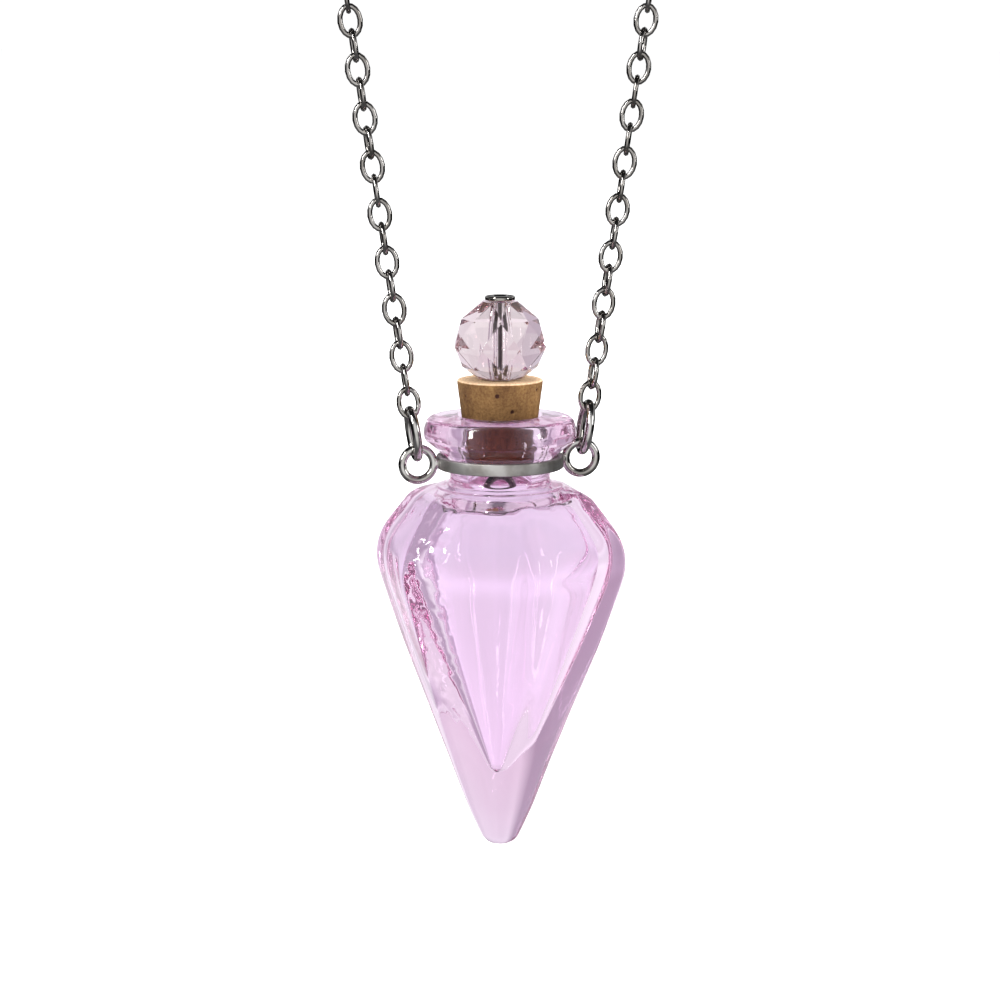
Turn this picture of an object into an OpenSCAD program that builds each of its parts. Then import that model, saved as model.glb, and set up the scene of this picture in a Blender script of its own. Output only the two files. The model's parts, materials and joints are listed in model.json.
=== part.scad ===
// Bottle pendant on a cable chain, hanging from the crown of its loop, in millimetres.
// The origin is under the clasp, where the loop hangs. +Z is up and the loop lies in the plane of X and Z.
// The pendant's own heights are counted up from the bottle's tip.

/* [Bottle body] */
// Axis to a corner at the widest ring, before the corners are rounded
girdle_r = 12.25; // [11:0.1:13.5]
// Height of the widest ring above the tip
girdle_h = 27.6; // [24:0.1:32]
// Axis to a corner at the shoulder's upper ring
shoulder_r = 9; // [8.2:0.1:9.6]
// Height of the shoulder, from the widest ring to its upper ring
shoulder_rise = 5; // [4:0.1:6]
// Height of the low roof, from the shoulder's upper ring to the neck
roof_rise = 1.3; // [1:0.1:1.8]
// Axis to a corner at the tip, before it is rounded
tip_r = 1.55; // [1:0.05:2]
// Rounding of the six upright edges
edge_round = 1.6; // [0.8:0.1:2.2]
// Rounding of the widest ring, seen from the side
girdle_round = 3; // [1.5:0.1:3.5]
// Rounding of the shoulder's upper ring, seen from the side
shoulder_round = 2.4; // [1:0.1:2.8]
// How far the long lower faces swell out between the tip and the widest ring
cone_swell = 0.35; // [0:0.05:0.6]
// Thickness of the glass at the widest ring
glass_wall = 2.6; // [2:0.1:3]
// Solid glass between the tip and the hollow
tip_glass = 7.6; // [6:0.1:10]

/* [Neck and lip] */
// Outer radius of the neck
neck_r = 4.5; // [4.2:0.1:5]
// Height of the straight neck
neck_len = 1.7; // [1.5:0.1:3]
// Height of the flare under the lip
flare_len = 1.5; // [1.2:0.1:2]
// How much wider the flare gets for each unit of height
flare_slope = 1.2; // [1:0.05:1.3]
// Largest radius of the lip
lip_r = 6.9; // [6.7:0.1:7.6]
// Height of the lip above the flare
lip_len = 2.6; // [2.2:0.1:4]
// Radius of the bore through the neck
bore_r = 2.9; // [2.6:0.05:3.2]

/* [Cork stopper] */
// Radius of the cork's top
cork_top_r = 3.9; // [3.7:0.1:4.4]
// Depth of the cork below the lip
cork_in = 5.2; // [4:0.1:6]
// Height of the cork above the lip
cork_out = 3.2; // [2.4:0.1:5]
// Clearance between the cork and the mouth
cork_gap = 0.1; // [0.05:0.01:0.15]

/* [Crystal bead] */
// Radius to a corner at the bead's widest ring
bead_r = 4.42; // [3.8:0.05:5]
// Height of the bead
bead_h = 6.9; // [5.5:0.1:8]
// Corners round the bead
bead_sides = 8; // [6:1:12]

/* [Head pin] */
// Radius of the pin's wire
pin_r = 0.32; // [0.25:0.01:0.4]
// Radius of the pin's head
head_r = 1.35; // [1.1:0.05:1.6]
// Thickness of the pin's head
head_t = 0.4; // [0.3:0.05:0.6]
// Radius of the pin's eye, at the middle of its wire
eye_r = 1.25; // [1:0.05:1.6]
// Clearance between the pieces that are strung on the pin, and round the pin
pin_gap = 0.08; // [0.06:0.01:0.12]

/* [Neck collar] */
// Radial play between the neck and the collar's band
collar_play = 0.75; // [0.65:0.05:0.9]
// Thickness of the band
band_t = 0.45; // [0.35:0.05:0.6]
// Height of the band
band_h = 1.1; // [0.8:0.1:1.3]
// Clearance between the band and the flare that rests on it
seat_gap = 0.15; // [0.1:0.01:0.2]
// Radius of a loop, at the middle of its wire
loop_r = 1.43; // [1.3:0.01:1.8]
// Radius of a loop's wire
loop_wire_r = 0.33; // [0.28:0.01:0.36]
// Length of the soldered joint between the band and a loop
solder_len = 0.1; // [0.05:0.05:0.4]

/* [Connecting rings] */
// Length of a ring, between the middles of its wire
ring_len = 4.3; // [3.8:0.1:6]
// Width of a ring, between the middles of its wire
ring_w = 2.7; // [2.4:0.1:3.2]
// Radius of a ring's wire
ring_wire_r = 0.35; // [0.3:0.01:0.38]

/* [Chain] */
// Links in each half of the chain
link_count = 110; // [90:2:116]
// Length of a link, between the middles of its wire
link_len = 2.6; // [2.5:0.02:3]
// Width of a link, between the middles of its wire
link_w = 1.67; // [1.6:0.01:2]
// Radius of a link's wire
link_wire_r = 0.19; // [0.16:0.01:0.2]
// Clearance between interlocking rings and links
link_gap = 0.105; // [0.1:0.005:0.14]
// Outward lean of each strand, in degrees
strand_lean = 8.5; // [7:0.5:12]

/* [Clasp] */
// Radius of the clasp's barrel
barrel_r = 1.5; // [1.2:0.1:2]
// Length of the clasp's barrel
barrel_len = 8; // [6:0.5:12]
// Radius of a clasp's eye, at the middle of its wire
clasp_eye_r = 1; // [0.9:0.05:1.3]
// Radius of the wire of a clasp's eye
clasp_wire_r = 0.25; // [0.2:0.01:0.3]

/* [Hidden] */

glass_pink = [0.93, 0.78, 0.91];
crystal_pink = [0.95, 0.85, 0.9];
cork_tan = [0.66, 0.47, 0.3];
steel = [0.75, 0.75, 0.76];

// Heights above the bottle's tip
shoulder_h = girdle_h + shoulder_rise;
roof_h = shoulder_h + roof_rise;
flare_h = roof_h + neck_len;
lip_h = flare_h + flare_len;
lip_top = lip_h + lip_len;
cork_base = lip_top - cork_in;
cork_top = lip_top + cork_out;
bead_base = cork_top + pin_gap;
head_base = bead_base + bead_h + pin_gap;

// The hollow: six-sided like the body, its glass measured square to a flat side
side_share = cos(30);
wall_at_corner = glass_wall / side_share;
hollow_girdle_r = girdle_r - wall_at_corner;
hollow_shoulder_r = shoulder_r - wall_at_corner;
hollow_tip_r = 0.3;
roof_glass = 1.5;
hollow_top = roof_h - roof_glass;
hollow_shoulder_h = shoulder_h - roof_glass;
hollow_edge_round = edge_round * 0.7;

// Where the lower faces swell out most, as a share of their height, and the rounding there
swell_share = 0.6;
swell_round = 120;

// The cork's side is one straight taper, and the mouth follows it with cork_gap to spare
cork_base_r = bore_r - cork_gap;
cork_taper = (cork_top_r - cork_base_r) / (cork_in + cork_out);
mouth_r = cork_base_r + cork_taper * cork_in + cork_gap;

// The band's upper inner edge lies seat_gap off the flare
band_r = neck_r + collar_play;
band_out_r = band_r + band_t;
band_top = flare_h + (collar_play - seat_gap * sqrt(1 + pow(flare_slope, 2))) / flare_slope;
loop_h = band_top - band_h / 2;
loop_x = band_out_r + solder_len + loop_wire_r + loop_r;

// The right half of the loop of chain, as a way from the collar's loop up to the crown: straight, then an arc
ring_start = loop_r - loop_wire_r - ring_wire_r - link_gap;
link_start = ring_start + ring_len - ring_wire_r - link_wire_r - link_gap;
link_pitch = link_len - 2 * link_wire_r - link_gap;
clasp_eye_start = link_start + (link_count - 1) * link_pitch + link_len - link_wire_r - clasp_wire_r
    - link_gap;
clasp_reach = barrel_len / 2 + 2 * clasp_eye_r - clasp_wire_r;
way_len = clasp_eye_start + clasp_reach;
lean_rad = strand_lean * PI / 180;
crown_r = (way_len + loop_x / sin(strand_lean)) / (1 / tan(strand_lean) + PI / 2 + lean_rad);
straight_len = (crown_r * cos(strand_lean) - loop_x) / sin(strand_lean);
crown_z = barrel_r;
loop_z = crown_z - crown_r * (1 + sin(strand_lean)) - straight_len * cos(strand_lean);
tip_z = loop_z - loop_h;

// Facets of what can't be cut as true arcs
edge_steps = 4;
profile_steps = 5;

function unit(v) = v / norm(v);

// Points of an arc of radius r that rounds the corner b between a and c
function rounded_corner(a, b, c, r) =
    let (u = unit(a - b), v = unit(c - b), half = acos(u * v) / 2,
         m = b + unit(u + v) * r / sin(half),
         s = b + u * r / tan(half) - m, e = b + v * r / tan(half) - m,
         from = atan2(s[1], s[0]), raw = atan2(e[1], e[0]) - from,
         turn = raw > 180 ? raw - 360 : raw < -180 ? raw + 360 : raw)
    [for (k = [0:profile_steps]) m + r * [cos(from + turn * k / profile_steps),
                                          sin(from + turn * k / profile_steps)]];

// A line through corners [radius, height, rounding], with its corners rounded
function soft_line(corners) =
    let (p = [for (q = corners) [q[0], q[1]]])
    [for (i = [0:len(p) - 1]) each (corners[i][2] == 0 ? [p[i]]
        : rounded_corner(p[i - 1], p[i], p[i + 1], corners[i][2]))];

// A six-sided ring with rounded corners, two of them on the Y axis
function soft_ring(r, z, rounding) =
    let (m = r - rounding / side_share)
    [for (i = [0:5], k = [0:edge_steps])
        let (a = 60 * i - 90, t = a - 30 + 60 * k / edge_steps)
        [m * cos(a) + rounding * cos(t), m * sin(a) + rounding * sin(t), z]];

// A six-sided solid through rings of the line's radius at the line's heights, from the lowest up
module soft_hexagon(line, rounding) {
    n = 6 * (edge_steps + 1);
    top = (len(line) - 1) * n;
    points = [for (p = line) each soft_ring(p[0], p[1], min(rounding, p[0] * 0.6))];
    sides = [for (i = [0:len(line) - 2], j = [0:n - 1])
        [i * n + j, i * n + n + j, i * n + n + (j + 1) % n, i * n + (j + 1) % n]];
    polyhedron(points, concat([[for (j = [0:n - 1]) j]], sides, [[for (j = [0:n - 1]) top + n - 1 - j]]));
}

module ring_of_wire(r, wire_r) {
    rotate([90, 0, 0]) rotate_extrude($fn = 48) translate([r, 0]) circle(wire_r, $fn = 24);
}

// An oval of wire in the plane of X and Z, its lowest wire at the origin and its length along +Z
module oval_of_wire(len, w, wire_r) {
    for (end = [0, 1])
        translate([0, 0, end == 0 ? w / 2 : len - w / 2]) rotate([90, end == 0 ? 180 : 0, 0])
            rotate_extrude(angle = 180, $fn = 48) translate([w / 2, 0]) circle(wire_r, $fn = 24);
    for (side = [-1, 1])
        translate([side * w / 2, 0, w / 2]) cylinder(h = len - w, r = wire_r, $fn = 24);
}

// Places children on the loop of chain, s along it from the collar's right loop, with +Z along the way
module on_way(s) {
    turn = max(0, s - straight_len) / crown_r * 180 / PI;
    flat = min(s, straight_len);
    if (turn == 0)
        translate([loop_x + flat * sin(strand_lean), 0, loop_z + flat * cos(strand_lean)])
            rotate([0, strand_lean, 0]) children();
    else
        translate([crown_r * cos(turn - strand_lean), 0,
                   crown_z - crown_r + crown_r * sin(turn - strand_lean)])
            rotate([0, strand_lean - turn, 0]) children();
}

module left_or_right(side) {
    mirror([side < 0 ? 1 : 0, 0, 0]) children();
}

module oval_ring(side) {
    color(steel) left_or_right(side) on_way(ring_start) rotate([0, 0, 90])
        oval_of_wire(ring_len, ring_w, ring_wire_r);
}

module chain_half(side) {
    color(steel) left_or_right(side)
        for (i = [0:link_count - 1]) on_way(link_start + i * link_pitch) rotate([0, 0, 90 * (i % 2)])
            oval_of_wire(link_len, link_w, link_wire_r);
}

module pendant() {
    translate([0, 0, tip_z]) children();
}

module neck_and_lip() {
    foot_r = neck_r + 1.4;
    foot_fall = 0.6;
    foot_rise = 0.15;
    under_lip_r = lip_r - 0.1;
    rim_r = lip_r - 0.35;
    belly_h = lip_h + lip_len * 0.45;
    outline = soft_line([
        [0, shoulder_h, 0],
        [foot_r, shoulder_h, 0],
        [foot_r, roof_h - foot_fall, 0],
        [neck_r, roof_h + foot_rise, 0.9],
        [neck_r, flare_h, 0.6],
        [under_lip_r, flare_h + (under_lip_r - neck_r) / flare_slope, 0.7],
        [lip_r, belly_h, 1.2],
        [rim_r, lip_top, 0.6],
        [0, lip_top, 0]]);
    rotate_extrude($fn = 96) polygon(outline);
}

module bottle() {
    outside = soft_line([
        [0.2, 0, 0],
        [tip_r, 0, tip_r * 1.12],
        [tip_r + (girdle_r - tip_r) * swell_share + cone_swell, girdle_h * swell_share, swell_round],
        [girdle_r, girdle_h, girdle_round],
        [shoulder_r, shoulder_h, shoulder_round],
        [neck_r + 0.6, roof_h, 0]]);
    hollow = soft_line([
        [hollow_tip_r, tip_glass, 0],
        [hollow_girdle_r, girdle_h, girdle_round * 0.5],
        [hollow_shoulder_r, hollow_shoulder_h, 0.8],
        [bore_r * 0.9, hollow_top, 0]]);
    bore = [[0, hollow_shoulder_h - 1], [bore_r, hollow_shoulder_h - 1], [bore_r, cork_base],
            [mouth_r, lip_top], [mouth_r, lip_top + 1], [0, lip_top + 1]];
    color(glass_pink) pendant() difference() {
        union() {
            soft_hexagon(outside, edge_round);
            neck_and_lip();
        }
        soft_hexagon(hollow, hollow_edge_round);
        rotate_extrude($fn = 96) polygon(bore);
    }
}

module cork_stopper() {
    edge = 0.15;
    color(cork_tan) pendant() difference() {
        rotate_extrude($fn = 72) polygon([
            [0, cork_base], [cork_base_r - edge, cork_base],
            [cork_base_r + cork_taper * edge, cork_base + edge],
            [cork_top_r - cork_taper * edge, cork_top - edge],
            [cork_top_r - edge, cork_top], [0, cork_top]]);
        translate([0, 0, cork_base - 1])
            cylinder(h = cork_top - cork_base + 2, r = pin_r + pin_gap, $fn = 24);
    }
}

module crystal_bead() {
    // Shares of the radius and the height at each ring of corners, each turned half a side from the last
    rings = [[0.46, 0], [0.74, 0.13], [1, 0.46], [0.82, 0.79], [0.4, 1]];
    n = bead_sides;
    points = [for (i = [0:len(rings) - 1], j = [0:n - 1])
        let (a = 360 / n * (j + i % 2 / 2))
        [bead_r * rings[i][0] * cos(a), bead_r * rings[i][0] * sin(a), bead_base + bead_h * rings[i][1]]];
    top = (len(rings) - 1) * n;
    facets = [for (i = [0:len(rings) - 2], j = [0:n - 1])
        let (p = i * n + j, q = i * n + (j + 1) % n, up = (i + 1) * n,
             r = i % 2 == 0 ? up + j : up + (j + 1) % n, before = i % 2 == 0 ? up + (j + n - 1) % n : up + j)
        each [[p, r, q], [p, before, r]]];
    color(crystal_pink) pendant() difference() {
        polyhedron(points, concat([[for (j = [0:n - 1]) j]], facets,
                                  [[for (j = [0:n - 1]) top + n - 1 - j]]));
        translate([0, 0, bead_base - 1]) cylinder(h = bead_h + 2, r = pin_r + pin_gap, $fn = 24);
    }
}

module head_pin() {
    eye_h = cork_base - pin_gap - pin_r - eye_r;
    color(steel) pendant() {
        translate([0, 0, eye_h + eye_r])
            cylinder(h = head_base - eye_h - eye_r + head_t / 2, r = pin_r, $fn = 24);
        translate([0, 0, eye_h]) ring_of_wire(eye_r, pin_r);
        translate([0, 0, head_base]) rotate_extrude($fn = 48) polygon([
            [0, 0], [head_r - head_t * 0.3, 0], [head_r, head_t * 0.35],
            [head_r - head_t * 0.1, head_t * 0.75], [head_r - head_t * 0.6, head_t],
            [head_r * 0.5, head_t], [head_r * 0.35, head_t * 0.7], [0, head_t * 0.7]]);
    }
}

module neck_collar() {
    joint_r = min(band_h / 2, 0.4);
    color(steel) pendant() {
        difference() {
            translate([0, 0, band_top - band_h]) cylinder(h = band_h, r = band_out_r, $fn = 96);
            translate([0, 0, band_top - band_h - 1]) cylinder(h = band_h + 2, r = band_r, $fn = 96);
        }
        for (side = [-1, 1]) {
            translate([side * loop_x, 0, loop_h]) ring_of_wire(loop_r, loop_wire_r);
            translate([side * (band_r + band_t / 2), 0, loop_h]) rotate([0, side * 90, 0])
                cylinder(h = band_t / 2 + solder_len + loop_wire_r, r = joint_r, $fn = 24);
        }
    }
}

module clasp() {
    end_cut = 0.5;
    half = barrel_len / 2;
    color(steel) {
        translate([0, 0, crown_z]) rotate([0, 90, 0]) rotate_extrude($fn = 48) polygon([
            [0, -half], [barrel_r - end_cut, -half], [barrel_r, end_cut - half],
            [barrel_r, half - end_cut], [barrel_r - end_cut, half], [0, half]]);
        for (side = [-1, 1]) left_or_right(side)
            on_way(clasp_eye_start + clasp_eye_r) ring_of_wire(clasp_eye_r, clasp_wire_r);
    }
}

bottle();
cork_stopper();
crystal_bead();
head_pin();
neck_collar();
oval_ring(-1);  // oval_ring_left
oval_ring(1);  // oval_ring_right
chain_half(-1);  // chain_left
chain_half(1);  // chain_right
clasp();
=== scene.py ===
"""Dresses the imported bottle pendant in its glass, crystal, cork and steel, and sets the stage round it."""

import json
import math
import random

import bmesh
import bpy
from bpy.props import FloatProperty, FloatVectorProperty, IntProperty, PointerProperty
from mathutils import Matrix, Vector

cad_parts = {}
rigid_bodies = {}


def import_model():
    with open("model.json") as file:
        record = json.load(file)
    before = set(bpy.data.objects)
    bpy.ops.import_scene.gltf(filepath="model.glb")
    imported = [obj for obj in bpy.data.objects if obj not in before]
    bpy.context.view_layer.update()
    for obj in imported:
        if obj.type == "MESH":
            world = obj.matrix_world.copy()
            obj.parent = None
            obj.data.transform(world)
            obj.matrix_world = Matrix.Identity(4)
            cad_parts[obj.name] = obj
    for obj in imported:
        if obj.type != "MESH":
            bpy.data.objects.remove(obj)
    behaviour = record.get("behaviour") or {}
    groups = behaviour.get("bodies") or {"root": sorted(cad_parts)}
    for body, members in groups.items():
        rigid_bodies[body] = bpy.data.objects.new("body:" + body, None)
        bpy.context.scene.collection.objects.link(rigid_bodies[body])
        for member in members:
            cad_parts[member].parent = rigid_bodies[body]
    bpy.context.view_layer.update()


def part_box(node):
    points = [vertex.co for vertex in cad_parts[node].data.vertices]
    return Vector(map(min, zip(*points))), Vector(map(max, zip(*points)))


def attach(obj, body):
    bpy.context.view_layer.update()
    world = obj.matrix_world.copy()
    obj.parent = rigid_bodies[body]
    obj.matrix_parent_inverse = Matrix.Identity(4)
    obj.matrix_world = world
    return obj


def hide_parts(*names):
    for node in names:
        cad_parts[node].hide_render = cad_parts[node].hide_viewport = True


bl_info = {
    "name": "Bottle Pendant",
    "version": (1, 0, 0),
    "blender": (4, 5, 0),
    "location": "3D View > Sidebar > Pendant",
    "description": "Models the pieces of a bottle pendant round its CAD frame and sets its stage",
    "category": "Object",
}

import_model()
MM = 0.001

# From the frame, in metres: the bottle's tip, its lip's height above the tip, and the collar's corners
TIP_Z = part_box("bottle")[0].z
LIP_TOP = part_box("bottle")[1].z - TIP_Z
COLLAR_LOW, COLLAR_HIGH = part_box("neck_collar")

# How finely a ring of the bottle is drawn: steps round each of its six corners, and cuts along each side
CORNER_STEPS = 6
SIDE_CUTS = 7
RING_POINTS = 6 * (CORNER_STEPS + 1 + SIDE_CUTS)


def length(name, description, millimetres):
    """A size that a user may change, kept in metres."""
    return FloatProperty(name=name, description=description, default=millimetres * MM, min=0.0,
                         unit="LENGTH", precision=5)


def linear(code):
    """An sRGB hex colour as linear red, green, blue and alpha."""
    parts = [int(code[i:i + 2], 16) / 255 for i in (1, 3, 5)]
    return (*(p / 12.92 if p <= 0.04045 else ((p + 0.055) / 1.055) ** 2.4 for p in parts), 1.0)


def colour(name, description, code):
    """A colour that a user may change, given as sRGB hex and kept linear."""
    return FloatVectorProperty(name=name, description=description, default=linear(code), size=4,
                               min=0.0, max=1.0, subtype="COLOR")


class PENDANT_PG_bottle(bpy.types.PropertyGroup):
    """Sizes of the glass, with heights above the bottle's tip."""

    girdle_r: length("Girdle radius", "Axis to a corner at the widest ring, before it is rounded", 12.5)
    girdle_h: length("Girdle height", "Height of the widest ring", 27.6)
    shoulder_r: length("Shoulder radius", "Axis to a corner at the shoulder's upper ring", 8.75)
    shoulder_h: length("Shoulder height", "Height of the shoulder's upper ring", 32.3)
    roof_h: length("Roof height", "Height where the roof meets the neck", 33.5)
    tip_r: length("Tip radius", "Axis to a corner at the tip, before it is rounded", 1.55)
    swell: length("Swell", "How far the long lower faces swell out", 0.35)
    edge_round: length("Edge rounding", "Rounding of the six upright edges", 1.6)
    glass_wall: length("Wall", "Thickness of the glass at the widest ring", 2.6)
    tip_glass: length("Glass at the tip", "Solid glass below the hollow", 7.6)
    roof_glass: length("Roof thickness", "Thickness of the glass over the hollow", 0.9)
    neck_r: length("Neck radius", "Outer radius of the neck", 4.5)
    neck_len: length("Neck length", "Height of the straight neck", 2.1)
    flare_len: length("Flare", "Height of the flare under the lip", 1.5)
    lip_r: length("Lip radius", "Largest radius of the lip", 6.9)
    skin_rings: IntProperty(name="Outer rings", description="Rings in the outer skin, counted as it is made",
                            default=0, min=0)
    lip_crown: length("Lip crown", "How far the lip's top falls from its mouth to its rim", 0.25)
    bore_r: length("Bore radius", "Radius of the bore through the neck", 2.9)
    girdle_round: length("Girdle rounding", "Rounding of the widest ring, seen from the side", 5)
    shoulder_round: length("Shoulder rounding", "Rounding of the shoulder's upper ring", 2.4)
    lip_wave: length("Lip waviness", "How far the lip's outside wanders, as it is shaped by hand", 2.0)
    fold_rise: length("Fold", "How far a fold stands in from the hollow's wall", 0.3)
    back_wave: length("Wall waviness", "How far the wall behind on the left wanders", 1.0)
    wave: length("Waviness", "How far the hollow's wall wanders, as in glass shaped hot", 0.02)


class PENDANT_PG_stopper(bpy.types.PropertyGroup):
    """Sizes of the cork, the bead and the pin that strings them."""

    cork_top_r: length("Cork radius", "Radius of the cork's top", 3.9)
    cork_in: length("Depth", "Depth of the cork below the lip", 5.2)
    cork_out: length("Stand", "Height of the cork above the lip", 3.2)
    cork_gap: length("Clearance", "Room between the cork and the glass", 0.1)
    pit_depth: length("Pit depth", "Depth of the pits in the cork", 0.2)
    bead_r: length("Bead radius", "Radius to a corner at the bead's widest ring", 4.42)
    bead_h: length("Bead height", "Height of the bead", 6.9)
    bead_sides: IntProperty(name="Bead corners", description="Corners round the bead", default=8, min=5)
    bead_turn: FloatProperty(name="Bead turn", description="How far the bead is turned on its pin",
                             subtype="ANGLE", default=math.radians(9))
    hole_r: length("Bead hole", "Radius of the hole drilled through the bead", 0.62)
    facet_edge: length("Facet edge", "Width of the polished edge between two facets", 0.05)
    pin_r: length("Pin radius", "Radius of the pin's wire", 0.32)
    head_r: length("Head radius", "Radius of the pin's head", 1.35)
    head_t: length("Head thickness", "Thickness of the pin's head", 0.4)
    eye_r: length("Eye radius", "Radius of the pin's eye, at the middle of its wire", 1.25)
    gap: length("Stringing clearance", "Room between the strung pieces", 0.08)


class PENDANT_PG_metal(bpy.types.PropertyGroup):
    """Sizes of the collar, the rings, the chain and the clasp."""

    band_r: length("Band radius", "Inner radius of the collar's band", 5.25)
    band_t: length("Band thickness", "Thickness of the band", 0.45)
    band_h: length("Band height", "Height of the band", 1.1)
    loop_r: length("Loop radius", "Radius of a loop, at the middle of its wire", 1.43)
    loop_wire_r: length("Loop wire", "Radius of a loop's wire", 0.33)
    ring_len: length("Ring length", "Length of a connecting ring between the middles of its wire", 4.3)
    ring_w: length("Ring width", "Width of a connecting ring between the middles of its wire", 2.7)
    ring_wire_r: length("Ring wire", "Radius of a connecting ring's wire", 0.35)
    link_count: IntProperty(name="Links", description="Links in each half of the chain", default=110, min=2)
    link_len: length("Link length", "Length of a link between the middles of its wire", 2.6)
    link_w: length("Link width", "Width of a link between the middles of its wire", 1.67)
    link_wire_r: length("Link wire", "Radius of a link's wire", 0.19)
    link_gap: length("Link clearance", "Room between interlocking links", 0.105)
    link_full: length("Link fullness", "How much fuller the links' wire is drawn", 0.05)
    link_broad: length("Link breadth", "How much broader a link is drawn", 0.08)
    ring_full: length("Ring fullness", "How much fuller the wire of rings and loops is drawn", 0.05)
    strand_lean: FloatProperty(name="Lean", description="Outward lean of each strand", subtype="ANGLE",
                               default=math.radians(8.5))
    barrel_r: length("Barrel radius", "Radius of the clasp's barrel", 1.5)
    barrel_len: length("Barrel length", "Length of the clasp's barrel", 8)
    clasp_eye_r: length("Clasp eye", "Radius of a clasp's eye, at the middle of its wire", 1)
    clasp_wire_r: length("Clasp wire", "Radius of the wire of a clasp's eye", 0.25)


class PENDANT_PG_stage(bpy.types.PropertyGroup):
    """Where the camera and the floor are."""

    azimuth: FloatProperty(name="Azimuth", description="How far to the right of the front the camera stands",
                           subtype="ANGLE", default=math.radians(-15))
    elevation: FloatProperty(name="Elevation", description="How far above level the camera stands",
                             subtype="ANGLE", default=math.radians(10))
    distance: length("Distance", "From the camera to what it aims at", 260)
    aim_h: length("Aim", "Height above the bottle's tip that the camera aims at", 31.9)
    focal_length: FloatProperty(name="Focal length", description="Focal length of the camera, in millimetres",
                                default=104.0, min=1.0)
    light_h: length("Light aim", "Height above the bottle's tip that the lights are turned to", 32)
    floor_drop: length("Floor", "How far the floor lies under the bottle's tip", 45)


class PENDANT_PG_colours(bpy.types.PropertyGroup):
    """Colours of the finishes and the stage."""

    glass: colour("Glass", "What thick pink glass lets through", "#E79CCB")
    crystal: colour("Crystal", "What thick pale crystal lets through", "#DAB8BA")
    cork: colour("Cork", "Body of the cork", "#7E5E38")
    cork_grain: colour("Cork grain", "Darker grain of the cork", "#624426")
    # Painted light: the cork's top is drawn much paler than its sides, standing for the light that falls on
    # it from above
    cork_top_painted_light: colour("Cork top", "Freshly cut top of the cork", "#EFCBA6")
    # Painted shade: the cork in the bottle's mouth is drawn darker and redder, standing for the shade it lies
    # in behind the glass
    cork_mouth_painted_shade: colour("Damp cork", "Cork darkened by damp in the bottle's mouth", "#7C4428")
    cork_pit: colour("Cork pits", "Pits in the cork", "#36190F")
    steel: colour("Steel", "Polished stainless steel", "#CFCDCA")
    steel_worn: colour("Worn steel", "Steel where fingers have dulled it", "#A7A39E")
    # Painted shade: the pin below its head is drawn in dark steel, standing for the shade it lies in inside
    # the bead and the cork
    steel_painted_shade: colour("Dark steel", "The pin below its head", "#5A504E")
    # Painted shade: the chain's wire, its worn patches too, is drawn darker than the other steel, standing
    # for the dark surroundings it mirrors
    wire: colour("Wire", "Darker steel of the chain's drawn wire", "#BAB7B4")
    wire_worn_painted_shade: colour("Worn wire", "The chain's wire where fingers have dulled it", "#9A9691")
    floor: colour("Floor", "Floor and surroundings", "#FFFFFF")


# Modelling by hand, in code


def start(piece=None):
    """Leaves edit mode with nothing selected but the given piece."""
    if bpy.context.object and bpy.context.object.mode == "EDIT":
        bpy.ops.object.mode_set(mode="OBJECT")
    bpy.ops.object.select_all(action="DESELECT")
    if piece:
        piece.select_set(True)
        bpy.context.view_layer.objects.active = piece


def edit(piece):
    """Opens a piece for editing with nothing in it selected."""
    start(piece)
    bpy.ops.object.mode_set(mode="EDIT")
    bpy.ops.mesh.select_mode(type="VERT")
    bpy.ops.mesh.select_all(action="DESELECT")


def settle(name):
    """Names the active piece and moves its place into its mesh."""
    if bpy.context.object.mode == "EDIT":
        bpy.ops.object.mode_set(mode="OBJECT")
    piece = bpy.context.object
    piece.name = piece.data.name = name
    bpy.ops.object.transform_apply(location=True, rotation=True, scale=True)
    return piece


def pick(piece, test):
    """Selects the vertices of the piece being edited whose place passes the test."""
    bpy.ops.mesh.select_all(action="DESELECT")
    mesh = bmesh.from_edit_mesh(piece.data)
    for v in mesh.verts:
        v.select_set(bool(test(v.co)))
    mesh.select_flush_mode()
    bmesh.update_edit_mesh(piece.data)


def modify(piece, kind, **settings):
    """Adds a modifier with its settings and applies it."""
    start(piece)
    modifier = piece.modifiers.new(kind.title(), kind)
    for key, value in settings.items():
        setattr(modifier, key, value)
    bpy.ops.object.modifier_apply(modifier=modifier.name)


def outward(piece):
    """Closes seams and turns all faces out."""
    edit(piece)
    bpy.ops.mesh.select_all(action="SELECT")
    bpy.ops.mesh.remove_doubles(threshold=1e-6)
    bpy.ops.mesh.normals_make_consistent(inside=False)
    bpy.ops.object.mode_set(mode="OBJECT")


def unite(piece, others):
    """Welds other closed pieces onto one, as solder does."""
    for other in others:
        modify(piece, "BOOLEAN", operation="UNION", solver="EXACT", object=other)
        bpy.data.objects.remove(other)
    return piece


def finish_piece(piece, material, body, slot, *nodes, angle=None):
    """Smooths a piece, or only edges under an angle, or none at 0, and gives it its material, body and the
    CAD nodes that it stands for. The slot is not used."""
    start(piece)
    if angle is None:
        bpy.ops.object.shade_smooth()
    elif angle:
        bpy.ops.object.shade_smooth_by_angle(angle=math.radians(angle))
    else:
        bpy.ops.object.shade_flat()
    piece.data.materials.clear()
    piece.data.materials.append(material)
    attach(piece, body)
    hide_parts(*nodes)
    return piece


def rounded_corner(a, b, c, r, steps=6):
    """Points of an arc of radius r that rounds the corner b between a and c, as pairs."""
    a, b, c = Vector(a), Vector(b), Vector(c)
    u, v = (a - b).normalized(), (c - b).normalized()
    half = math.acos(max(-1.0, min(1.0, u.dot(v)))) / 2
    centre = b + (u + v).normalized() * r / math.sin(half)
    begin, end = b + u * r / math.tan(half) - centre, b + v * r / math.tan(half) - centre
    first = math.atan2(begin.y, begin.x)
    turn = math.remainder(math.atan2(end.y, end.x) - first, 2 * math.pi)
    bearings = [first + turn * k / steps for k in range(steps + 1)]
    return [(centre.x + r * math.cos(bearing), centre.y + r * math.sin(bearing)) for bearing in bearings]


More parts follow.
